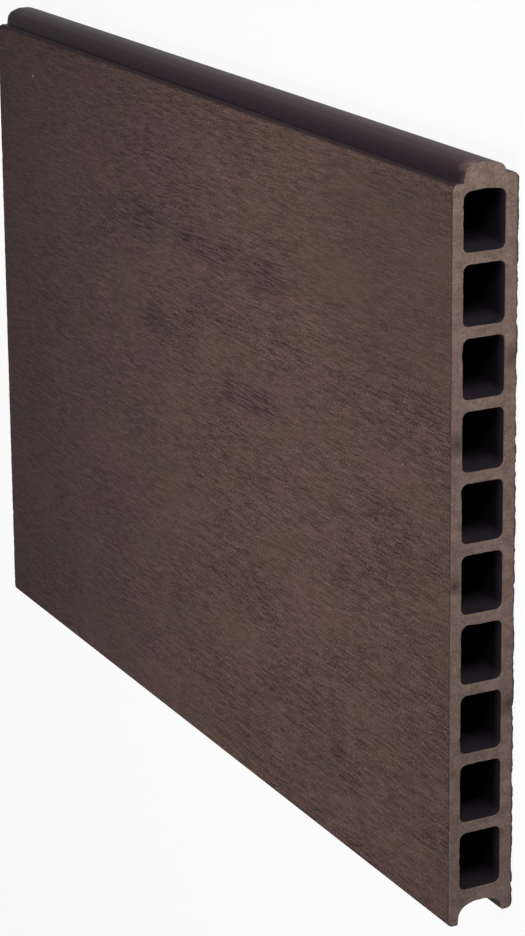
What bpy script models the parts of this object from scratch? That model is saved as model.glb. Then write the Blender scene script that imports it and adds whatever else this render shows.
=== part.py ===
"""Composite fence board: a hollow wood-plastic extrusion with a tongue, a groove and a row of cells.

The board lies flat on its back face. +X runs along the extrusion, +Y runs from the groove to the
tongue and +Z is up, out of the brushed front face. The origin is under the middle of the board.
All sizes are in metres.
"""

import math

import bpy
from mathutils import Vector

# The board's outside. The back wall is set a step nearer the tongue, so the front lip hangs lower.
LENGTH = 0.302
THICKNESS = 0.020
COVER_WIDTH = 0.204
BACK_STEP = 0.0015
FRONT_SHOULDER_RADIUS = 0.0019
BACK_SHOULDER_RADIUS = 0.0018

# The walls round the cells.
CELL_COUNT = 10
FRONT_WALL = 0.0034
BACK_WALL = 0.0039
WEB = 0.0031
WEB_UNDER_TONGUE = 0.0019
WEB_OVER_GROOVE = 0.0038
CELL_CORNER_RADIUS = 0.0018
TOP_CELL_CROWN = 0.0006
TOP_CELL_CROWN_RADIUS = 0.009

# The tongue, and the groove that takes the next board's tongue.
TONGUE_WIDTH = 0.0128
TONGUE_HEIGHT = 0.0052
TONGUE_SIDE_HEIGHT = 0.0038
TONGUE_TAPER = 0.0005
TONGUE_ROOT_RADIUS = 0.0003
SIDE_CLEARANCE = 0.0004
END_CLEARANCE = 0.0008

# The tongue's roundings, as shares of its width.
CREST_FLAT_SHARE = 0.30
CREST_RADIUS_SHARE = 0.40
FRONT_CORNER_SHARE = 0.265
BACK_CORNER_SHARE = 0.15

# The lips' roundings, as shares of each lip's thickness.
FRONT_LIP_SHARE = 0.40
BACK_LIP_SHARE = 0.52
INNER_LIP_SHARE = 0.20

# A round corner gets one straight step for each of these angles.
ARC_STEP = math.radians(15)

# The extruded material's own colour and gloss.
BOARD_COLOUR = (0.080, 0.056, 0.045, 1.0)
BOARD_ROUGHNESS = 0.7

# Levels across the board, worked out from the sizes above.
LIP_Y = -(COVER_WIDTH + TONGUE_HEIGHT) / 2
SHOULDER_Y = LIP_Y + COVER_WIDTH
GROOVE_DEPTH = TONGUE_HEIGHT + END_CLEARANCE
CELLS_START_Y = LIP_Y + GROOVE_DEPTH + WEB_OVER_GROOVE
CELLS_END_Y = SHOULDER_Y - WEB_UNDER_TONGUE
CELL_HEIGHT = (CELLS_END_Y - CELLS_START_Y - (CELL_COUNT - 1) * WEB) / CELL_COUNT
CELL_PITCH = CELL_HEIGHT + WEB
CELL_BACK_Z = BACK_WALL
CELL_FRONT_Z = THICKNESS - FRONT_WALL
JOINT_Z = (CELL_BACK_Z + CELL_FRONT_Z) / 2
BACK_LIP = JOINT_Z - TONGUE_WIDTH / 2 - SIDE_CLEARANCE
FRONT_LIP = THICKNESS - JOINT_Z - TONGUE_WIDTH / 2 - SIDE_CLEARANCE


def clear_scene():
    for obj in list(bpy.data.objects):
        bpy.data.objects.remove(obj)


def rounded(corners):
    """The outline through (y, z, radius) corners, each replaced by an arc of its radius."""
    points = []
    for index, (y, z, radius) in enumerate(corners):
        corner = Vector((y, z))
        before = (Vector(corners[index - 1][:2]) - corner).normalized()
        after = (Vector(corners[(index + 1) % len(corners)][:2]) - corner).normalized()
        turn = math.pi - before.angle(after)
        reach = radius * math.tan(turn / 2)
        centre = corner + (before + after).normalized() * math.hypot(radius, reach)
        start = corner + before * reach - centre
        end = corner + after * reach - centre
        steps = max(1, math.ceil(turn / ARC_STEP))
        for step in range(steps + 1):
            share = step / steps
            arm = start * math.sin((1 - share) * turn) + end * math.sin(share * turn)
            points.append(centre + arm / math.sin(turn))
    return points


def joint_ridge(base_y, side_clearance, end_clearance, back_radius, front_radius):
    """The tongue's outline from its back root over the crest to its front root, grown by the clearances."""
    half = TONGUE_WIDTH / 2 + side_clearance
    side_half = half - TONGUE_TAPER
    side_y = base_y + TONGUE_SIDE_HEIGHT + end_clearance
    crest_y = base_y + TONGUE_HEIGHT + end_clearance
    crest_half = TONGUE_WIDTH * CREST_FLAT_SHARE / 2
    crest_radius = TONGUE_WIDTH * CREST_RADIUS_SHARE
    back_corner = TONGUE_WIDTH * BACK_CORNER_SHARE + side_clearance
    front_corner = TONGUE_WIDTH * FRONT_CORNER_SHARE + side_clearance
    return [
        (base_y + BACK_STEP, JOINT_Z - half, back_radius),
        (side_y, JOINT_Z - side_half, back_corner),
        (crest_y, JOINT_Z - crest_half, crest_radius),
        (crest_y, JOINT_Z + crest_half, crest_radius),
        (side_y, JOINT_Z + side_half, front_corner),
        (base_y, JOINT_Z + half, front_radius),
    ]


def outer_corners():
    """The section's outside: back face, tongue edge, front face and groove edge, in that order."""
    root = TONGUE_ROOT_RADIUS
    tongue = joint_ridge(SHOULDER_Y, 0.0, 0.0, root, root)
    back_inner = BACK_LIP * INNER_LIP_SHARE
    front_inner = FRONT_LIP * INNER_LIP_SHARE
    groove = joint_ridge(LIP_Y, SIDE_CLEARANCE, END_CLEARANCE, back_inner, front_inner)
    return [
        (LIP_Y + BACK_STEP, 0.0, BACK_LIP * BACK_LIP_SHARE),
        (SHOULDER_Y + BACK_STEP, 0.0, BACK_SHOULDER_RADIUS),
        *tongue,
        (SHOULDER_Y, THICKNESS, FRONT_SHOULDER_RADIUS),
        (LIP_Y, THICKNESS, FRONT_LIP * FRONT_LIP_SHARE),
        *reversed(groove),
    ]


def cell_corners(index):
    """One cell, counted from the groove. The last one has a crowned roof, under the tongue."""
    low_y = CELLS_START_Y + index * CELL_PITCH
    high_y = low_y + CELL_HEIGHT
    crown = []
    if index == CELL_COUNT - 1:
        crown = [(high_y, JOINT_Z, TOP_CELL_CROWN_RADIUS)]
        high_y -= TOP_CELL_CROWN
    return [
        (low_y, CELL_BACK_Z, CELL_CORNER_RADIUS),
        (high_y, CELL_BACK_Z, CELL_CORNER_RADIUS),
        *crown,
        (high_y, CELL_FRONT_Z, CELL_CORNER_RADIUS),
        (low_y, CELL_FRONT_Z, CELL_CORNER_RADIUS),
    ]


def add_outline(curve, corners):
    points = rounded(corners)
    spline = curve.splines.new("POLY")
    spline.points.add(len(points) - 1)
    for target, point in zip(spline.points, points):
        target.co = (point.x, point.y, 0.0, 1.0)
    spline.use_cyclic_u = True


def board_material():
    material = bpy.data.materials.new("wood_plastic_composite")
    material.use_nodes = True
    shader = material.node_tree.nodes["Principled BSDF"]
    shader.inputs["Base Color"].default_value = BOARD_COLOUR
    shader.inputs["Roughness"].default_value = BOARD_ROUGHNESS
    shader.inputs["Metallic"].default_value = 0.0
    return material


def make_fence_board(collection):
    """The section drawn once as a flat outline with its cells as holes, and extruded both ways."""
    curve = bpy.data.curves.new("fence_board", "CURVE")
    curve.dimensions = "2D"
    curve.fill_mode = "BOTH"
    curve.extrude = LENGTH / 2
    add_outline(curve, outer_corners())
    for index in range(CELL_COUNT):
        add_outline(curve, cell_corners(index))
    curve.materials.append(board_material())
    board = bpy.data.objects.new("fence_board", curve)
    # The outline's plane turns upright, so that the extrusion runs along X.
    board.rotation_euler = (math.pi / 2, 0.0, math.pi / 2)
    collection.objects.link(board)
    return board


def main():
    clear_scene()
    collection = bpy.data.collections.new("composite_fence_board")
    bpy.context.scene.collection.children.link(collection)
    make_fence_board(collection)


main()
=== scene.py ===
# %% [markdown]
# # A cut sample of composite fence board
# The real object is a short length of fence board. It is extruded from a hot mix of wood flour
# and plastic, so one section runs all along it: two walls, webs between ten cells, a tongue on
# one edge and a groove on the other. Its front was then brushed, its back was embossed by a
# roller, and its ends were sawn.
#
# Its box is kept, because the dressed board must fill the same space.

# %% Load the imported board
import math

import bpy
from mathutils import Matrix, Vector


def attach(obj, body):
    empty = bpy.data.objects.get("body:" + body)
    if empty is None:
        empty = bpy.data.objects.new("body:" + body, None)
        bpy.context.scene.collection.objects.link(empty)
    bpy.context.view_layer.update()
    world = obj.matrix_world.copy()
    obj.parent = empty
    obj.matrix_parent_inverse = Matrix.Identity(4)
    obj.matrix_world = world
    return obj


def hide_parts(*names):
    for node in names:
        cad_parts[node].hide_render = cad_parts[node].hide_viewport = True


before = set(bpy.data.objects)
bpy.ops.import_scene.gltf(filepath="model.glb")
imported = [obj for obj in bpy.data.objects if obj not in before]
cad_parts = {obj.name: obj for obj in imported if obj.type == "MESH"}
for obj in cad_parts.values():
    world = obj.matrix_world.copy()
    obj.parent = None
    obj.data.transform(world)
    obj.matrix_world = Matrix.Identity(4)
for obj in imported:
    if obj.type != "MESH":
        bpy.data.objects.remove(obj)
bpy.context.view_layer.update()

# %% [markdown]
# ## The section's sizes
# The section could be typed in as points, but a point that is moved later would tear it. So its
# sizes are kept as a drawing of the die has them, in millimetres, and what follows from others is
# worked out. X runs along the board, Y across it from the groove to the tongue, and Z from the
# back face to the front.

# %% Sizes in millimetres
MM = 0.001

LENGTH = 302.0
THICKNESS = 20.0
COVER_WIDTH = 204.0
BACK_STEP = 1.5
FRONT_SHOULDER_RADIUS = 1.9
BACK_SHOULDER_RADIUS = 1.8

CELL_COUNT = 10
CELL_BACK_Z = 3.9
CELL_FRONT_Z = 16.6
WEB = 3.1
WEB_UNDER_TONGUE = 1.9
WEB_OVER_GROOVE = 3.8
CELL_CORNER_RADIUS = 1.8
TOP_CELL_CROWN = 0.6

TONGUE_WIDTH = 12.8
TONGUE_HEIGHT = 5.2
TONGUE_SIDE_HEIGHT = 3.8
TONGUE_TAPER = 0.5
TONGUE_ROOT_RADIUS = 0.3
TONGUE_CREST_FLAT = 3.84
TONGUE_CREST_RADIUS = 5.12
TONGUE_FRONT_CORNER = 3.39
TONGUE_BACK_CORNER = 1.92
SIDE_CLEARANCE = 0.4
END_CLEARANCE = 0.8

CUT_X = LENGTH / 2
LIP_Y = -(COVER_WIDTH + TONGUE_HEIGHT) / 2
SHOULDER_Y = LIP_Y + COVER_WIDTH
CELLS_START_Y = LIP_Y + TONGUE_HEIGHT + END_CLEARANCE + WEB_OVER_GROOVE
CELLS_END_Y = SHOULDER_Y - WEB_UNDER_TONGUE
CELL_HEIGHT = (CELLS_END_Y - CELLS_START_Y - (CELL_COUNT - 1) * WEB) / CELL_COUNT
CELL_PITCH = CELL_HEIGHT + WEB
CELL_DEPTH = CELL_FRONT_Z - CELL_BACK_Z
JOINT_Z = (CELL_BACK_Z + CELL_FRONT_Z) / 2
print(f"each cell is {CELL_HEIGHT:.2f} x {CELL_DEPTH:.2f} mm, one every {CELL_PITCH:.2f} mm")

# %% [markdown]
# ## Camera
# The photograph shows the board on its edge, seen from beyond the sawn end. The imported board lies
# on its back and stays so, and the camera goes round it instead: it looks down on the board and is
# rolled until the tongue is at the top of the picture. A camera that is tilted makes upright edges
# lean together. Shifting its lens keeps them almost parallel.

# %% Camera


def put_in_scene(name, data):
    """A new object with this data, linked to the scene."""
    item = bpy.data.objects.new(name, data)
    bpy.context.collection.objects.link(item)
    return item


camera_data = bpy.data.cameras.new("camera")
camera_data.sensor_width = 36.0
camera_data.lens = 112.149
camera_data.shift_y = -0.2436
camera_data.clip_start = 0.01
camera_data.clip_end = 20.0
camera = put_in_scene("camera", camera_data)
camera.location = (0.7693, 0.2543, 0.3919)
camera.rotation_euler = [math.radians(angle) for angle in (-14.2372, 62.6682, -1.1815)]
bpy.context.scene.camera = camera
print(f"camera is {camera.location.length:.2f} m from the middle of the board")

# %% [markdown]
# ## One helper for every node tree
# Shaders and Geometry Nodes are both trees of nodes. They could be wired by hand in the editor,
# but a script can be read, changed and run again. One function makes a node, gives it its
# settings, and fills its inputs in order. A value may be a number, a colour, a socket, or another
# node, whose first output in use is then taken. None leaves an input as it is.
#
# Colours are written as the sRGB hex that a colour picker shows. Blender works in linear light,
# so one function converts them.

# %% Nodes and colours


def add(tree, kind, *values, **settings):
    """A new node of this kind, with its settings, and its inputs filled in order."""
    node = tree.nodes.new(kind)
    for name, value in settings.items():
        setattr(node, name, value)
    sockets = [socket for socket in node.inputs if socket.enabled]
    for socket, value in zip(sockets, values):
        if isinstance(value, bpy.types.Node):
            value = next(output for output in value.outputs if output.enabled)
        if isinstance(value, bpy.types.NodeSocket):
            tree.links.new(value, socket)
        elif value is not None:
            socket.default_value = value
    return node


def to_linear(code):
    """The sRGB hex code as linear red, green, blue and alpha."""
    values = [int(code[i:i + 2], 16) / 255 for i in (1, 3, 5)]
    linear = [v / 12.92 if v <= 0.04045 else ((v + 0.055) / 1.055) ** 2.4 for v in values]
    return (*linear, 1.0)


print("mid brown in linear light:", [round(v, 4) for v in to_linear("#55433c")])

# %% [markdown]
# ## Grain of a real size
# Wood flour and plastic give flecks and streaks of many sizes. A picture of the surface could be
# wrapped round the board, but noise needs no picture, never repeats, and can be given a real size.
# The position is taken in millimetres and divided by the size of one fleck along X, Y and Z, which
# stretches the noise along the board. The seed is the noise's fourth dimension, so each pattern
# differs. This works the same in a material, where the position is the Object coordinate, and in
# Geometry Nodes, where it is the vertex position.

# %% Grain


def flecks(tree, place, size, seed, detail=2.0, rough=0.5):
    """Noise whose flecks have this size in millimetres along X, Y and Z."""
    scaled = add(tree, "ShaderNodeVectorMath", place, size, operation="DIVIDE")
    return add(tree, "ShaderNodeTexNoise", scaled, seed, 1.0, detail, rough, noise_dimensions="4D")


print("made the helper", flecks.__name__, "for noise with a size in millimetres")

# %% [markdown]
# ## Finishes in layers
# Each finish starts from one colour and gets thin layers of others over it, as a painter glazes.
# One colour ramp could hold them all for a single pattern, but here each layer has a pattern of
# its own. A layer begins to show where its pattern passes the start value, and has its full share
# at the full value. When full is the lower of the two, it shows where the pattern is low.
#
# Some layers belong to one place on the board. Their pattern is the distance from that place,
# counted in the reach of an oval, so that 1 is the oval's rim.

# %% Layers


def new_material(name, roughness, specular):
    """A material with its tree, its shader, and the Object position in millimetres."""
    material = bpy.data.materials.new(name)
    material.use_nodes = True
    tree = material.node_tree
    shader = tree.nodes["Principled BSDF"]
    shader.inputs["Roughness"].default_value = roughness
    shader.inputs["Specular IOR Level"].default_value = specular
    coords = tree.nodes.new("ShaderNodeTexCoord").outputs["Object"]
    place = add(tree, "ShaderNodeVectorMath", coords, operation="SCALE")
    place.inputs["Scale"].default_value = 1 / MM
    return material, tree, shader, place


def lay(tree, colour, code, pattern, start=0.0, full=1.0, share=1.0, ease="LINEAR"):
    """Lays the colour of this code over the colour so far, as the pattern runs from start to full."""
    mask = add(tree, "ShaderNodeMapRange", pattern, start, full, 0.0, share, interpolation_type=ease)
    return add(tree, "ShaderNodeMix", mask, colour, to_linear(code), data_type="RGBA")


def from_centre(tree, place, centre, reach):
    """The distance from a centre, counted in this reach along X, Y and Z."""
    offset = add(tree, "ShaderNodeVectorMath", place, centre, operation="SUBTRACT")
    offset = add(tree, "ShaderNodeVectorMath", offset, reach, operation="DIVIDE")
    return add(tree, "ShaderNodeVectorMath", offset, operation="LENGTH").outputs["Value"]


def finish(tree, shader, colour, height, depth):
    """Joins the colour, and a relief of this depth in millimetres, to the shader."""
    relief = add(tree, "ShaderNodeBump", 1.0, depth * MM, None, height)
    last_colour = next(output for output in colour.outputs if output.enabled)
    tree.links.new(last_colour, shader.inputs["Base Color"])
    tree.links.new(relief.outputs["Normal"], shader.inputs["Normal"])


helpers = (new_material, lay, from_centre, finish)
print("made the helpers", ", ".join(helper.__name__ for helper in helpers))

# %% [markdown]
# ## Brushed wood-plastic, the front face
# After extrusion the front is brushed along its length with wire. That opens the plastic skin, so
# the face turns matt and paler, with a fine grit, short streaks, dark hairlines where the wires
# dug in, and pale specks of wood flour. The pigment is never mixed quite evenly, so faint olive
# and plum clouds lie over it. The brush marks could be cut into the mesh, but they are far too
# shallow to show in an outline, so they are drawn in the material.
#
# The real hairlines are about 0.2 mm wide. They are drawn at 0.4 mm, and the grit and the specks
# at 0.5 to 0.8 mm, because anything finer falls between the pixels. The shader is rough, and its
# specular level is low, because a white room would otherwise veil the dark face.

# %% Brushed front: the grain
DARK_GRAIN = "#2a1f1c"
PALE_GRAIN = "#6e5750"
BAND = "#35261f"
PALE_CLOUD = "#6d574b"
OLIVE_CLOUD = "#564d3a"
PLUM_CLOUD = "#5f4348"
HAIRLINE = "#20171a"
FLOUR_SPECK = "#9a8678"
GRIT_WEIGHT = 0.9

brushed, tree, shader, place = new_material("brushed_wood_plastic", roughness=0.8, specular=0.06)

streaks = flecks(tree, place, (4.6, 0.46, 0.46), seed=1.0, rough=0.6)
grit = flecks(tree, place, (0.8, 0.5, 0.5), seed=8.0, detail=1.0)
bands = flecks(tree, place, (20.0, 1.0, 1.0), seed=2.0)
clouds = flecks(tree, place, (46.0, 22.0, 22.0), seed=3.0)
pigment = flecks(tree, place, (30.0, 14.0, 14.0), seed=4.0)
hairlines = flecks(tree, place, (9.0, 0.4, 0.4), seed=5.0, detail=1.0, rough=0.4)
specks = flecks(tree, place, (0.8, 0.5, 0.5), seed=6.0, detail=0.0)

grain = add(tree, "ShaderNodeMath", grit, GRIT_WEIGHT, streaks, operation="MULTIPLY_ADD")
colour = lay(tree, to_linear(DARK_GRAIN), PALE_GRAIN, grain, start=0.72, full=1.16)
colour = lay(tree, colour, BAND, bands, start=0.42, full=0.7, share=0.3)
colour = lay(tree, colour, PALE_CLOUD, clouds, start=0.4, full=0.68, share=0.3)
colour = lay(tree, colour, OLIVE_CLOUD, pigment, start=0.48, full=0.3, share=0.32)
colour = lay(tree, colour, PLUM_CLOUD, pigment, start=0.53, full=0.72, share=0.22)
colour = lay(tree, colour, HAIRLINE, hairlines, start=0.6, full=0.7, share=0.55)
colour = lay(tree, colour, FLOUR_SPECK, specks, start=0.73, full=0.79, share=0.75)
print("brushed front:", len(tree.nodes), "nodes for the grain")

# %% [markdown]
# ## Scratches and marks on the front
# Deep scratches crowd in a few places, where the face is also bruised a little towards plum, and
# the corner by the tongue at the near end is smoother than the rest. One pale chip of wood lies
# near the far corner. Each of these could be painted on a UV map by hand. Soft ovals do it with a
# few numbers: each lets the scratch noise through, or evens the colour, in its own place.

# %% Brushed front: the marks
BRUISE = "#3b2d34"
DEEP_SCRATCH = "#241b21"
SMOOTH_FACE = "#52433b"
PALE_WOOD = "#cfc4bb"
# Centre and reach along X, and centre and reach along Y.
SCRATCHED_PLACES = [
    (-38, 32, 54, 9),
    (6, 34, 54, 8),
    (45, 24, 53, 8),
    (36, 32, 14, 8),
    (-28, 18, 23, 5),
]
REACH_Z = 10.0
SMOOTH_CENTRE = (125.0, 72.0, THICKNESS)
SMOOTH_REACH = (75.0, 45.0, REACH_Z)
CHIP_CENTRE = (-121.0, 86.0, THICKNESS)
CHIP_REACH = (1.0, 1.0, 1.0)
# In reaches of its oval, a mark is at its full strength up to the core and is gone at the rim.
CORE, RIM = 0.2, 1.0
SCRATCH_SHARE = 0.85

crowd = 0.0
for x, reach_x, y, reach_y in SCRATCHED_PLACES:
    away = from_centre(tree, place, (x, y, THICKNESS), (reach_x, reach_y, REACH_Z))
    oval = add(tree, "ShaderNodeMapRange", away, CORE, RIM, 1.0, 0.0, interpolation_type="SMOOTHSTEP")
    crowd = add(tree, "ShaderNodeMath", oval, crowd, operation="MAXIMUM")
scratches = flecks(tree, place, (9.0, 0.5, 0.5), seed=7.0, detail=1.0, rough=0.4)
scratched = add(tree, "ShaderNodeMapRange", scratches, 0.51, 0.6, 0.0, SCRATCH_SHARE)
scratched = add(tree, "ShaderNodeMath", scratched, crowd, operation="MULTIPLY")

colour = lay(tree, colour, BRUISE, crowd, share=0.16)
colour = lay(tree, colour, DEEP_SCRATCH, scratched)
away = from_centre(tree, place, SMOOTH_CENTRE, SMOOTH_REACH)
colour = lay(tree, colour, SMOOTH_FACE, away, start=RIM, full=0.3, share=0.45, ease="SMOOTHSTEP")
away = from_centre(tree, place, CHIP_CENTRE, CHIP_REACH)
colour = lay(tree, colour, PALE_WOOD, away, start=0.7, full=0.3, share=0.9)
print("brushed front:", len(SCRATCHED_PLACES), "scratched places")

# %% [markdown]
# ## The front's edges
# The brush misses the rounded long edges, so the dark skin comes back there. Towards the far end
# the face is painted darker and more plum: painted shade of the lamp's fall-off, with a plum tint
# of the pigment. Just before each cut a thin band of painted shade darkens the edge. These three
# follow the board itself, so their patterns are its own X and Z.

# %% Brushed front: the edges
BARE_SKIN = "#2c2225"
FAR_PLUM_AND_SHADE = "#372b31"
CUT_EDGE_SHADE = "#2e2225"
ROUNDED_FROM = THICKNESS - 0.08
ROUNDED_TO = THICKNESS - 0.75

axes = add(tree, "ShaderNodeSeparateXYZ", place).outputs
from_middle = add(tree, "ShaderNodeMath", axes["X"], operation="ABSOLUTE")
colour = lay(tree, colour, BARE_SKIN, axes["Z"], start=ROUNDED_FROM, full=ROUNDED_TO)
# Painted shade of the lamp's fall-off, with a plum tint: darker and more plum towards the far end.
colour = lay(tree, colour, FAR_PLUM_AND_SHADE, axes["X"], start=20.0, full=-CUT_X, share=0.5)
# Painted shade: a thin dark band on the face just before each cut.
colour = lay(tree, colour, CUT_EDGE_SHADE, from_middle, start=CUT_X - 0.9, full=CUT_X - 0.3, share=0.5)
relief = add(tree, "ShaderNodeMath", streaks, scratched, operation="SUBTRACT")
finish(tree, shader, colour, relief, depth=0.1)
print("brushed front:", len(tree.nodes), "nodes in all")

# %% [markdown]
# ## Extruded skin, the tongue and the edges
# The die leaves a smooth, dark skin with faint draw lines. Nothing has brushed the tongue, the
# shoulders, the lips and the groove, so they keep it. A clear coat over a rough base could give
# the gloss, but filled plastic has one even sheen, so one roughness near 0.4 is enough. Its
# specular level is turned well down, because the room is white all round. The draw lines are
# finer than the 0.5 mm they are drawn at.
#
# A layer on Y paints shade at the tongue's foot: the crest is left lighter and the foot is drawn
# darker, as the light falls on them. Where the saw left the board it rubbed the skin brown: a little
# all round, and in one patch on the front of the tongue.

# %% Extruded skin
DRAWN_DARK = "#2e2024"
DRAWN_PALE = "#38292e"
SKIN_CLOUD = "#402f34"
PAINTED_FOOT_SHADE = "#19121a"
RUBBED = "#6b5850"
RUBBED_LENGTH = 3.0
RUBBED_SHARE = 0.5
PATCH_CENTRE = (CUT_X, SHOULDER_Y + 4.0, JOINT_Z + 3.5)
PATCH_REACH = (6.0, 3.5, 4.0)
# The patch is more than full in its middle, because the mottled wear is multiplied with it.
PATCH_STRENGTH = 1.4
LEAST_WORN, MOST_WORN = 0.15, 0.7

skin, tree, shader, place = new_material("extruded_skin", roughness=0.4, specular=0.027)

draw_lines = flecks(tree, place, (160.0, 0.5, 0.5), seed=11.0)
clouds = flecks(tree, place, (50.0, 6.0, 6.0), seed=12.0)
wear = flecks(tree, place, (3.0, 1.6, 1.6), seed=13.0, detail=3.0, rough=0.6)

axes = add(tree, "ShaderNodeSeparateXYZ", place).outputs
crest = SHOULDER_Y + TONGUE_HEIGHT
foot = SHOULDER_Y + 2.0
colour = lay(tree, to_linear(DRAWN_DARK), DRAWN_PALE, draw_lines, start=0.3, full=0.7)
colour = lay(tree, colour, SKIN_CLOUD, clouds, start=0.4, full=0.7, share=0.35)
# Painted shade: darker from the crest down to the tongue's foot.
colour = lay(tree, colour, PAINTED_FOOT_SHADE, axes["Y"], start=crest, full=foot, share=0.65)

from_middle = add(tree, "ShaderNodeMath", axes["X"], operation="ABSOLUTE")
at_end = add(tree, "ShaderNodeMapRange", from_middle, CUT_X - RUBBED_LENGTH, CUT_X, 0.0, RUBBED_SHARE)
patch = from_centre(tree, place, PATCH_CENTRE, PATCH_REACH)
patch = add(tree, "ShaderNodeMapRange", patch, CORE, RIM, PATCH_STRENGTH, 0.0)
rubbed = add(tree, "ShaderNodeMath", patch, at_end, operation="MAXIMUM")
worn = add(tree, "ShaderNodeMapRange", wear, 0.4, 0.58, LEAST_WORN, MOST_WORN)
worn = add(tree, "ShaderNodeMath", worn, rubbed, operation="MULTIPLY", use_clamp=True)
colour = lay(tree, colour, RUBBED, worn)
finish(tree, shader, colour, draw_lines, depth=0.02)
print("extruded skin:", len(tree.nodes), "nodes")

# %% [markdown]
# ## Sawn wood-plastic, the cut ends
# The saw opens the material, so the wood flour shows, and the cut is the palest and most matt
# surface. The mix is cloudy over a few millimetres, and small pits are left where grains tore
# out. The blade leaves faint lines across the board's thickness. Voronoi cells could draw the
# grains one by one, but they would look like gravel: the flour is bound in plastic and has no
# clear outlines, so noise fits it better. Grains of flour are about 0.4 mm across. They are drawn
# at 0.6 mm, so that they show.
#
# The roller's skin shows as a thin dark line along the back edge of the cut, and there are dark
# smudges where the cut was rubbed.

# %% Sawn ends
MIX_DARK = "#63524a"
MIX_PALE = "#7e6c64"
DARK_FLOUR = "#5a4841"
PALE_FLOUR = "#9d8b80"
PIT = "#4b3c38"
BLADE_LINE = "#a3948a"
ROLLER_SKIN = "#34292a"
SMUDGE = "#332724"
# Y, Z and radius of each smudge.
SMUDGES = [(30.5, 18.4, 4.5), (-8.0, 18.6, 3.0), (52.0, 1.4, 4.0), (-44.0, 1.6, 5.0)]
SMUDGE_CORE = 0.2
SMUDGE_STRENGTH = 1.4
# Leaves X out, so that the distance from a smudge is counted along the cut only.
ALONG_CUT = (0.0, 1.0, 1.0)

sawn, tree, shader, place = new_material("sawn_wood_plastic", roughness=0.9, specular=0.03)

flour = flecks(tree, place, (0.6, 0.6, 0.6), seed=21.0, detail=3.0, rough=0.7)
clouds = flecks(tree, place, (4.5, 3.0, 3.0), seed=22.0, detail=3.0, rough=0.6)
pits = flecks(tree, place, (1.3, 1.0, 1.0), seed=24.0, rough=0.6)
blade = flecks(tree, place, (3.0, 0.5, 8.0), seed=23.0)

from_back = add(tree, "ShaderNodeSeparateXYZ", place).outputs["Z"]
colour = lay(tree, to_linear(MIX_DARK), MIX_PALE, clouds, start=0.3, full=0.7)
colour = lay(tree, colour, DARK_FLOUR, flour, start=0.5, full=0.32, share=0.6)
colour = lay(tree, colour, PALE_FLOUR, flour, start=0.55, full=0.72, share=0.5)
colour = lay(tree, colour, PIT, pits, start=0.6, full=0.75, share=0.35)
colour = lay(tree, colour, BLADE_LINE, blade, start=0.56, full=0.76, share=0.14)
colour = lay(tree, colour, ROLLER_SKIN, from_back, start=1.0, full=0.35, share=0.9)

flat = add(tree, "ShaderNodeVectorMath", place, ALONG_CUT, operation="MULTIPLY")
for y, z, radius in SMUDGES:
    away = add(tree, "ShaderNodeVectorMath", flat, (0.0, y, z), operation="DISTANCE").outputs["Value"]
    smudge = add(tree, "ShaderNodeMapRange", away, SMUDGE_CORE, radius, SMUDGE_STRENGTH, 0.0)
    smudge = add(tree, "ShaderNodeMath", smudge, clouds, operation="MULTIPLY")
    colour = lay(tree, colour, SMUDGE, smudge)
relief = add(tree, "ShaderNodeMath", flour, blade, operation="ADD")
finish(tree, shader, colour, relief, depth=0.08)
print("sawn ends:", len(tree.nodes), "nodes")

# %% [markdown]
# ## Cell skin, inside the hollow cells
# The cells are 302 mm deep and about 13 mm wide, so almost no light comes back out. The skin in
# them has cooled against a mandrel and is matt. They could simply be closed with a black plate,
# but then the board would not be hollow when it is seen from another side.
#
# In the photograph each cell is one even near-black. Close to a cut, where the lamps reach in,
# the skin is drawn near-black. Deep inside hardly any light is left, so the skin there is drawn
# paler than it is outside, to give a little of it back. The specular level is zero, so the walls
# don't mirror the white room.

# %% Cell skin
DEEP_DARK = "#574d57"
DEEP_PALE = "#655a64"
BLACK_MOUTH = "#0b090c"
MOUTH_START = CUT_X - 34.0
MOUTH_FULL = CUT_X - 15.0

cell_skin, tree, shader, place = new_material("cell_skin", roughness=0.95, specular=0.0)
draw_lines = flecks(tree, place, (120.0, 0.8, 0.8), seed=31.0)
along = add(tree, "ShaderNodeSeparateXYZ", place).outputs["X"]
from_middle = add(tree, "ShaderNodeMath", along, operation="ABSOLUTE")
colour = lay(tree, to_linear(DEEP_DARK), DEEP_PALE, draw_lines)
colour = lay(tree, colour, BLACK_MOUTH, from_middle, start=MOUTH_START, full=MOUTH_FULL, share=0.85)
finish(tree, shader, colour, draw_lines, depth=0.03)
print("cell skin:", len(tree.nodes), "nodes")

# %% [markdown]
# ## Embossed wood-plastic, the back face
# A hot roller presses a wood grain into the back. A bump could draw all of it, but the deep grain
# shows in the board's outline, so it is real geometry, made further down. The material adds the
# fine fibres, drawn at 0.7 mm so that they show, and painted shade that darkens the bottom of each
# groove, which Z gives directly.

# %% Embossed back
DARK_FIBRE = "#42332d"
PALE_FIBRE = "#5d4b43"
BACK_CLOUD = "#6a574c"
GROOVE_SHADE = "#2b211e"

embossed, tree, shader, place = new_material("embossed_wood_plastic", roughness=0.75, specular=0.2)
fibres = flecks(tree, place, (18.0, 0.7, 0.7), seed=41.0, detail=3.0, rough=0.6)
clouds = flecks(tree, place, (60.0, 16.0, 16.0), seed=42.0)
pressed_in = add(tree, "ShaderNodeSeparateXYZ", place).outputs["Z"]
colour = lay(tree, to_linear(DARK_FIBRE), PALE_FIBRE, fibres, start=0.3, full=0.7)
colour = lay(tree, colour, BACK_CLOUD, clouds, start=0.38, full=0.7, share=0.35)
# Painted shade: darker towards the bottom of each pressed groove.
colour = lay(tree, colour, GROOVE_SHADE, pressed_in, start=0.1, full=0.38, share=0.65)
finish(tree, shader, colour, fibres, depth=0.1)
print("embossed back:", len(tree.nodes), "nodes")

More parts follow.
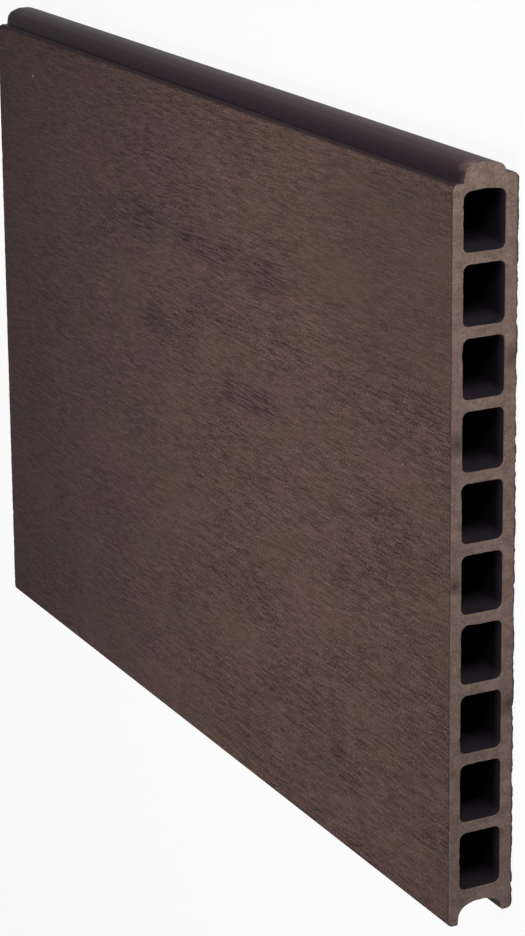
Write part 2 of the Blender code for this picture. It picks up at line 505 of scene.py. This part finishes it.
# %% [markdown]
# ## The outline of the die
# The outside of the section could be a Bezier curve, but a die is drawn as corner points, each
# with its radius, and so is this. A function replaces each corner by an arc and cuts the
# straights into short steps, so that the relief has points to move. The groove is the tongue
# again, grown by the clearances, which is why one function draws both.

# %% Outline
ARC_STEP = math.radians(10)
STEP = 0.8
BACK_FACE_STEP = 0.6


def outline(corners):
    """Points (y, z) round the corners (y, z, radius, step of the straight after it)."""
    arcs = []
    for index, (y, z, radius, step) in enumerate(corners):
        corner = Vector((y, z))
        before = (Vector(corners[index - 1][:2]) - corner).normalized()
        after = (Vector(corners[(index + 1) % len(corners)][:2]) - corner).normalized()
        turn = math.pi - before.angle(after)
        reach = radius * math.tan(turn / 2)
        centre = corner + (before + after).normalized() * math.hypot(radius, reach)
        start = corner + before * reach - centre
        end = corner + after * reach - centre
        count = max(1, math.ceil(turn / ARC_STEP))
        shares = [i / count for i in range(count + 1)]
        arms = [start * math.sin((1 - s) * turn) + end * math.sin(s * turn) for s in shares]
        arcs.append(([centre + arm / math.sin(turn) for arm in arms], step))
    points = []
    for index, (arc, step) in enumerate(arcs):
        target = arcs[(index + 1) % len(arcs)][0][0]
        parts = max(1, round((target - arc[-1]).length / step))
        points += arc[:-1] + [arc[-1].lerp(target, i / parts) for i in range(parts)]
    return points


def joint_ridge(base_y, side, end, back_radius, front_radius):
    """The tongue's corners from its back root to its front root, grown by the clearances."""
    half = TONGUE_WIDTH / 2 + side
    side_half = half - TONGUE_TAPER
    side_y = base_y + TONGUE_SIDE_HEIGHT + end
    crest_y = base_y + TONGUE_HEIGHT + end
    flat = TONGUE_CREST_FLAT / 2
    return [
        (base_y + BACK_STEP, JOINT_Z - half, back_radius, STEP),
        (side_y, JOINT_Z - side_half, TONGUE_BACK_CORNER + side, STEP),
        (crest_y, JOINT_Z - flat, TONGUE_CREST_RADIUS, STEP),
        (crest_y, JOINT_Z + flat, TONGUE_CREST_RADIUS, STEP),
        (side_y, JOINT_Z + side_half, TONGUE_FRONT_CORNER + side, STEP),
        (base_y, JOINT_Z + half, front_radius, STEP),
    ]


print("an arc gets a point at least every", round(math.degrees(ARC_STEP)), "degrees")

# %% [markdown]
# ## The die itself
# The two lips beside the groove are what is left of the thickness, and their roundings are shares
# of it. The outline starts on the back face, which has shorter steps, because the roller's grain
# needs more points than the smooth sides.

# %% Die
INNER_LIP_SHARE = 0.2
BACK_LIP_SHARE = 0.52
FRONT_LIP_SHARE = 0.4

back_lip = JOINT_Z - TONGUE_WIDTH / 2 - SIDE_CLEARANCE
front_lip = THICKNESS - JOINT_Z - TONGUE_WIDTH / 2 - SIDE_CLEARANCE
inner_radii = (back_lip * INNER_LIP_SHARE, front_lip * INNER_LIP_SHARE)
tongue = joint_ridge(SHOULDER_Y, 0.0, 0.0, TONGUE_ROOT_RADIUS, TONGUE_ROOT_RADIUS)
groove = joint_ridge(LIP_Y, SIDE_CLEARANCE, END_CLEARANCE, *inner_radii)
die = outline([
    (LIP_Y + BACK_STEP, 0.0, back_lip * BACK_LIP_SHARE, BACK_FACE_STEP),
    (SHOULDER_Y + BACK_STEP, 0.0, BACK_SHOULDER_RADIUS, STEP),
    *tongue,
    (SHOULDER_Y, THICKNESS, FRONT_SHOULDER_RADIUS, STEP),
    (LIP_Y, THICKNESS, front_lip * FRONT_LIP_SHARE, STEP),
    *reversed(groove),
])
die_mesh = bpy.data.meshes.new("die")
edges = [(i, (i + 1) % len(die)) for i in range(len(die))]
die_mesh.from_pydata([(point.x, point.y, 0.0) for point in die], edges, [])
print("the die's outline has", len(die), "points")

# %% [markdown]
# ## Geometry Nodes: an extruder in one tree
# The board could be modelled face by face, but its section follows a rule and its cells repeat,
# so Geometry Nodes do the rest. The tree gets the die's outline and makes the cells, sweeps both
# along the board, fills the two cuts, embosses the back and breaks the cut edges. Each size is a
# named input. The tree works in millimetres and scales the result to metres at the end.

# %% The tree and its inputs
extruder = bpy.data.node_groups.new("board_extruder", "GeometryNodeTree")
extruder.interface.new_socket("Die", in_out="INPUT", socket_type="NodeSocketGeometry")
named_sizes = {
    "Length": LENGTH,
    "Cell Count": CELL_COUNT,
    "Cell Pitch": CELL_PITCH,
    "Cell Height": CELL_HEIGHT,
    "Cell Depth": CELL_DEPTH,
    "Corner Radius": CELL_CORNER_RADIUS,
    "Roof Crown": TOP_CELL_CROWN,
    "Emboss Depth": 0.42,
    "Emboss Width": 3.2,
    "Emboss Run": 110.0,
    "Broken Edge": 0.22,
    "Chip Depth": 0.8,
    "Seed": 4.0,
}
for name, value in named_sizes.items():
    kind = "NodeSocketInt" if isinstance(value, int) else "NodeSocketFloat"
    extruder.interface.new_socket(name, in_out="INPUT", socket_type=kind)
extruder.interface.new_socket("Board", in_out="OUTPUT", socket_type="NodeSocketGeometry")
sizes = extruder.nodes.new("NodeGroupInput").outputs
spot = extruder.nodes.new("GeometryNodeInputPosition")
axes = add(extruder, "ShaderNodeSeparateXYZ", spot).outputs
print("the extruder has", len(named_sizes), "named sizes")

# %% [markdown]
# ## The row of cells
# One cell is a rectangle with filleted corners. Ten copies could be placed by hand, but Mesh Line
# lays ten points a pitch apart, and a cell is instanced on each, so the count is one number. The
# last cell, under the tongue, has a roof that rises a little in the middle, so that the tongue's
# wall stays even. Its points past the cell's middle are let down in proportion to their distance
# from the section's middle line.

# %% Cells
FILLET_STEPS = 6
CELL_POINTS = 72

cell = add(extruder, "GeometryNodeCurvePrimitiveQuadrilateral",
           sizes["Cell Height"], sizes["Cell Depth"], mode="RECTANGLE")
cell = add(extruder, "GeometryNodeFilletCurve",
           cell, FILLET_STEPS, sizes["Corner Radius"], True, mode="POLY")
cell = add(extruder, "GeometryNodeResampleCurve", cell, None, CELL_POINTS, mode="COUNT")
first = (CELLS_START_Y + CELL_HEIGHT / 2, JOINT_Z, 0.0)
pitch = add(extruder, "ShaderNodeCombineXYZ", sizes["Cell Pitch"])
row = add(extruder, "GeometryNodeMeshLine", sizes["Cell Count"], first, pitch, mode="OFFSET")
row = add(extruder, "GeometryNodeInstanceOnPoints", row, None, cell)
row = add(extruder, "GeometryNodeRealizeInstances", row)

# The section is still drawn flat here: its X is the board's Y, and its Y is the board's Z.
last_middle = CELLS_END_Y - CELL_HEIGHT / 2
roof = add(extruder, "FunctionNodeCompare", axes["X"], last_middle, operation="GREATER_THAN")
fall = add(extruder, "ShaderNodeMath", axes["Y"], JOINT_Z, operation="SUBTRACT")
fall = add(extruder, "ShaderNodeMath", fall, operation="ABSOLUTE")
fall = add(extruder, "ShaderNodeMath", fall, -2.0 / CELL_DEPTH, operation="MULTIPLY")
fall = add(extruder, "ShaderNodeMath", fall, sizes["Roof Crown"], operation="MULTIPLY")
fall = add(extruder, "ShaderNodeCombineXYZ", fall)
row = add(extruder, "GeometryNodeSetPosition", row, roof, None, fall)
print("cells are laid from Y =", round(CELLS_START_Y, 2), "to", round(CELLS_END_Y, 2))

# %% [markdown]
# ## The sweep
# Extrude Mesh could push the section along in equal steps. Curve to Mesh pushes it along a line,
# and the line's points can be crowded near the two cuts, where the edges are broken, and far
# apart in the middle: an evenly spaced line is bent through a sine, whose ends are flat. The
# cells need fewer points than the outside.
#
# Curve to Mesh hangs the section upside down on a line along X, so each wall is turned by half a
# turn, and the cells' faces are flipped to look into the hollow. Each wall gets a zone number,
# which later chooses its material.

# %% Sweep
FRONT, SIDES, SAWN, CELL, BACK = range(5)
OUTSIDE_STATIONS = 76
CELL_STATIONS = 40
ON_BACK_PLANE = 0.003
BRUSHED_FROM = THICKNESS - 1.2
ON_FACES = {"data_type": "INT", "domain": "FACE"}

half = add(extruder, "ShaderNodeMath", sizes["Length"], 0.5, operation="MULTIPLY")
minus_half = add(extruder, "ShaderNodeMath", half, -1.0, operation="MULTIPLY")
near_end = add(extruder, "ShaderNodeCombineXYZ", half)
far_end = add(extruder, "ShaderNodeCombineXYZ", minus_half)
crowded = add(extruder, "ShaderNodeMath", axes["X"], half, operation="DIVIDE")
crowded = add(extruder, "ShaderNodeMath", crowded, math.pi / 2, operation="MULTIPLY")
crowded = add(extruder, "ShaderNodeMath", crowded, operation="SINE")
crowded = add(extruder, "ShaderNodeMath", crowded, half, operation="MULTIPLY")
crowded = add(extruder, "ShaderNodeCombineXYZ", crowded)
rim = add(extruder, "GeometryNodeMeshToCurve", sizes["Die"])

walls = []
for section, stations, zone in ((rim, OUTSIDE_STATIONS, SIDES), (row, CELL_STATIONS, CELL)):
    line = add(extruder, "GeometryNodeCurvePrimitiveLine", far_end, near_end, mode="POINTS")
    line = add(extruder, "GeometryNodeResampleCurve", line, None, stations, mode="COUNT")
    line = add(extruder, "GeometryNodeSetPosition", line, None, crowded)
    wall = add(extruder, "GeometryNodeCurveToMesh", line, section)
    wall = add(extruder, "GeometryNodeTransform", wall, None, (math.pi, 0.0, 0.0))
    wall = add(extruder, "GeometryNodeStoreNamedAttribute", wall, None, "zone", zone, **ON_FACES)
    walls.append(wall)
outside, hollows = walls
hollows = add(extruder, "GeometryNodeFlipFaces", hollows)
low = add(extruder, "FunctionNodeCompare", axes["Z"], ON_BACK_PLANE, operation="LESS_THAN")
high = add(extruder, "FunctionNodeCompare", axes["Z"], BRUSHED_FROM, operation="GREATER_THAN")
for faces, zone in ((low, BACK), (high, FRONT)):
    outside = add(extruder, "GeometryNodeStoreNamedAttribute", outside, faces, "zone", zone, **ON_FACES)
print("the outside has", OUTSIDE_STATIONS, "stations and each cell has", CELL_STATIONS)

# %% [markdown]
# ## The cuts
# A board could be cut from a longer one with a Boolean, which is slow and leaves untidy faces.
# Fill Curve closes the die's outline and treats the cells inside it as holes. The filled section
# is turned upright and set at each end, and Merge by Distance welds it to the walls, so the
# board is one closed body.

# %% Cuts
WELD_DISTANCE = 0.002
UPRIGHT = (math.pi / 2, 0.0, math.pi / 2)

section = add(extruder, "GeometryNodeJoinGeometry", rim)
extruder.links.new(row.outputs[0], section.inputs[0])
section = add(extruder, "GeometryNodeFillCurve", section, mode="TRIANGLES")
section = add(extruder, "GeometryNodeStoreNamedAttribute", section, None, "zone", SAWN, **ON_FACES)
near_cut = add(extruder, "GeometryNodeTransform", section, near_end, UPRIGHT)
far_cut = add(extruder, "GeometryNodeTransform", section, far_end, UPRIGHT)
far_cut = add(extruder, "GeometryNodeFlipFaces", far_cut)
board = add(extruder, "GeometryNodeJoinGeometry", outside)
for part in (hollows, near_cut, far_cut):
    extruder.links.new(part.outputs[0], board.inputs[0])
board = add(extruder, "GeometryNodeMergeByDistance", board, None, WELD_DISTANCE)
print("the cuts are welded to the walls")

# %% [markdown]
# ## The roller's emboss
# The back face is pressed in by long, narrow waves, a few millimetres wide, that wander a little
# across the board. A Displace modifier could do it, but it would need a texture and a painted
# vertex group. In the tree one comparison picks the points that lie on the back plane, and the
# relief fades out towards the rounded edges.

# %% Emboss
WANDER = 0.6
PRESS_START = 0.36
PRESS_FULL = 0.66
FADE_START = COVER_WIDTH / 2 - 5.0
FADE_END = COVER_WIDTH / 2 - 2.0
BACK_MIDDLE_Y = BACK_STEP - TONGUE_HEIGHT / 2

seed = sizes["Seed"]
wave = add(extruder, "ShaderNodeCombineXYZ", sizes["Emboss Run"], sizes["Emboss Width"], 1.0)
waves = flecks(extruder, spot, wave, seed, rough=0.6)
waves.inputs["Distortion"].default_value = WANDER
pressed = add(extruder, "ShaderNodeMapRange",
              waves, PRESS_START, PRESS_FULL, 0.0, 1.0, interpolation_type="SMOOTHSTEP")
pressed = add(extruder, "ShaderNodeMath", pressed, sizes["Emboss Depth"], operation="MULTIPLY")
from_middle = add(extruder, "ShaderNodeMath", axes["Y"], BACK_MIDDLE_Y, operation="SUBTRACT")
from_middle = add(extruder, "ShaderNodeMath", from_middle, operation="ABSOLUTE")
on_flat = add(extruder, "ShaderNodeMapRange", from_middle, FADE_START, FADE_END, 1.0, 0.0)
pressed = add(extruder, "ShaderNodeMath", pressed, on_flat, operation="MULTIPLY")
lift = add(extruder, "ShaderNodeCombineXYZ", None, None, pressed)
board = add(extruder, "GeometryNodeSetPosition", board, low, None, lift)
print("the back is embossed up to", named_sizes["Emboss Depth"], "mm deep")

# %% [markdown]
# ## Edges that the saw broke
# Wood-plastic is brittle, so a saw leaves its edges slightly crumbled, with a chip here and
# there. A Bevel would make them even, which no saw does. So points within a millimetre of a cut
# move into the material, by a fine noise everywhere and by a coarse one where it is strong. The
# direction is the surface normal without its X, so the cut plane itself stays flat and the board
# never grows. The first 0.3 mm of wall is torn open, so it joins the sawn zone and gives each
# opening a thin pale rim.

# %% Broken edges
BREAK_REACH = 1.0
BREAK_FALLOFF = 3.0
CRUMB = (1.2, 1.2, 1.2)
CHIP = (4.5, 4.5, 4.5)
LEAST_CRUMB = 0.4
TORN_REACH = 0.3
INWARD = (0.0, -1.0, -1.0)

normal = extruder.nodes.new("GeometryNodeInputNormal")
inward = add(extruder, "ShaderNodeVectorMath", normal, INWARD, operation="MULTIPLY")
inward = add(extruder, "ShaderNodeVectorMath", inward, operation="NORMALIZE")
gap = add(extruder, "ShaderNodeMath", axes["X"], operation="ABSOLUTE")
gap = add(extruder, "ShaderNodeMath", half, gap, operation="SUBTRACT")
near_edge = add(extruder, "ShaderNodeMapRange", gap, 0.0, BREAK_REACH, 1.0, 0.0)
near_edge = add(extruder, "ShaderNodeMath", near_edge, BREAK_FALLOFF, operation="POWER")
crumbs = flecks(extruder, spot, CRUMB, seed)
crumbs = add(extruder, "ShaderNodeMapRange", crumbs, 0.4, 0.75, LEAST_CRUMB, 1.0)
crumbs = add(extruder, "ShaderNodeMath", crumbs, sizes["Broken Edge"], operation="MULTIPLY")
chips = flecks(extruder, spot, CHIP, seed)
chips = add(extruder, "ShaderNodeMapRange", chips, 0.62, 0.85, 0.0, 1.0)
chips = add(extruder, "ShaderNodeMath", chips, sizes["Chip Depth"], operation="MULTIPLY")
torn = add(extruder, "FunctionNodeCompare", gap, TORN_REACH, operation="LESS_THAN")
board = add(extruder, "GeometryNodeStoreNamedAttribute", board, torn, "zone", SAWN, **ON_FACES)
depth = add(extruder, "ShaderNodeMath", crumbs, chips, operation="ADD")
depth = add(extruder, "ShaderNodeMath", depth, near_edge, operation="MULTIPLY")
shift = add(extruder, "ShaderNodeVectorMath", inward, operation="SCALE")
extruder.links.new(depth.outputs[0], shift.inputs["Scale"])
board = add(extruder, "GeometryNodeSetPosition", board, None, None, shift)
print("the edges are broken within", BREAK_REACH, "mm of each cut")

# %% [markdown]
# ## Sharp edges, metres and materials
# Round parts are shaded smooth and real corners stay sharp. The board is scaled to metres. The
# tree ends in Realize Instances and one Set Material for each zone. Five materials on one mesh
# are used, and not five pieces, because the board is one body.

# %% End of the tree
SHARP_ANGLE = math.radians(38)

angle = extruder.nodes.new("GeometryNodeInputMeshEdgeAngle")
sharp = add(extruder, "FunctionNodeCompare", angle, SHARP_ANGLE, operation="GREATER_THAN")
board = add(extruder, "GeometryNodeSetShadeSmooth", board, None, True, domain="FACE")
board = add(extruder, "GeometryNodeSetShadeSmooth", board, sharp, False, domain="EDGE")
board = add(extruder, "GeometryNodeTransform", board, None, None, (MM, MM, MM))
board = add(extruder, "GeometryNodeRealizeInstances", board)
number = add(extruder, "GeometryNodeInputNamedAttribute", "zone", data_type="INT")
zones = ((SIDES, skin), (FRONT, brushed), (SAWN, sawn), (CELL, cell_skin), (BACK, embossed))
for zone, material in zones:
    chosen = add(extruder, "FunctionNodeCompare", number, zone, data_type="INT", operation="EQUAL")
    board = add(extruder, "GeometryNodeSetMaterial", board, chosen, material)
add(extruder, "NodeGroupOutput", board)
print("the extruder tree has", len(extruder.nodes), "nodes")

# %% [markdown]
# ## Run the extruder
# The tree runs as a modifier on the die. Its inputs are set by socket identifier before it is
# first evaluated.

# %% The board
source = put_in_scene("die", die_mesh)
modifier = source.modifiers.new("extruder", "NODES")
modifier.node_group = extruder
for item in extruder.interface.items_tree:
    if item.in_out == "INPUT" and item.name in named_sizes:
        modifier[item.identifier] = named_sizes[item.name]
evaluated = source.evaluated_get(bpy.context.evaluated_depsgraph_get())
board_mesh = bpy.data.meshes.new_from_object(evaluated)
board_mesh.name = "board"
source.modifiers.remove(modifier)
bpy.data.objects.remove(source)
board = put_in_scene("board", board_mesh)
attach(board, "root")
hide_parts("fence_board")
board_mesh.calc_loop_triangles()
print("the board has", len(board_mesh.loop_triangles), "triangles")

# %% [markdown]
# ## Floor and backdrop
# The board lies on white paper. A strong lamp could burn the paper white, but it would bleach the
# board too. So the paper is a matt white that is mostly replaced by a plain white for camera,
# mirror and glass rays. What is left of the matt white keeps the board's soft shadow.

# %% Floor
FLOOR_REACH = 4.0
FLOOR_Z = -0.0002
PAPER = "#f0f0f0"
WHITE = "#ffffff"
PLAIN_WHITE_SHARE = 0.93


def seen_directly(tree):
    """1 for camera, mirror and glass rays, and 0 for light that falls on the board."""
    path = tree.nodes.new("ShaderNodeLightPath").outputs
    seen = add(tree, "ShaderNodeMath", path["Is Camera Ray"], path["Is Glossy Ray"], operation="MAXIMUM")
    return add(tree, "ShaderNodeMath", seen, path["Is Transmission Ray"], operation="MAXIMUM")


paper = bpy.data.materials.new("white_paper")
paper.use_nodes = True
tree = paper.node_tree
tree.nodes.clear()
matt = add(tree, "ShaderNodeBsdfDiffuse", to_linear(PAPER))
white = add(tree, "ShaderNodeEmission", to_linear(WHITE), 1.0)
share = add(tree, "ShaderNodeMath", seen_directly(tree), PLAIN_WHITE_SHARE, operation="MULTIPLY")
add(tree, "ShaderNodeOutputMaterial", add(tree, "ShaderNodeMixShader", share, matt, white))

floor_mesh = bpy.data.meshes.new("floor")
corners = [(x * FLOOR_REACH, y * FLOOR_REACH, FLOOR_Z) for x, y in ((-1, -1), (1, -1), (1, 1), (-1, 1))]
floor_mesh.from_pydata(corners, [], [(0, 1, 2, 3)])
floor_mesh.materials.append(paper)
floor = put_in_scene("floor", floor_mesh)
print(f"floor is {-FLOOR_Z / MM:.1f} mm under the board's back plane")

# %% [markdown]
# ## Light
# The photograph has a soft, even studio light. A picture of a studio could light the scene, but a
# plain world and two lamps do the same with a few numbers. The room is a soft even white, and
# camera, mirror and glass rays see it as plain white. A softbox above the near half gives the
# fall of light towards the far end, and a second one beyond the tongue lights the sawn end from
# the top.

# %% World and lamps
ROOM = "#eeebf7"
ROOM_STRENGTH = 0.23

world = bpy.data.worlds.new("studio")
bpy.context.scene.world = world
world.use_nodes = True
tree = world.node_tree
tree.nodes.clear()
soft = add(tree, "ShaderNodeBackground", to_linear(ROOM), ROOM_STRENGTH)
white = add(tree, "ShaderNodeBackground", to_linear(WHITE), 1.0)
add(tree, "ShaderNodeOutputWorld", add(tree, "ShaderNodeMixShader", seen_directly(tree), soft, white))


def add_softbox(name, place, target, size, power, spread):
    data = bpy.data.lights.new(name, "AREA")
    data.size = size
    data.energy = power
    data.spread = math.radians(spread)
    lamp = put_in_scene(name, data)
    lamp.location = place
    lamp.rotation_euler = (Vector(target) - Vector(place)).to_track_quat("-Z", "Y").to_euler()


add_softbox("key", (0.25, 0.02, 0.75), (0.03, 0.0, 0.0), size=0.25, power=0.35, spread=50)
add_softbox("end_light", (0.38, 0.38, 0.07), (0.151, 0.05, 0.01), size=0.18, power=0.7, spread=120)
bpy.context.scene.view_settings.view_transform = "Standard"
print("two softboxes and an even room light")
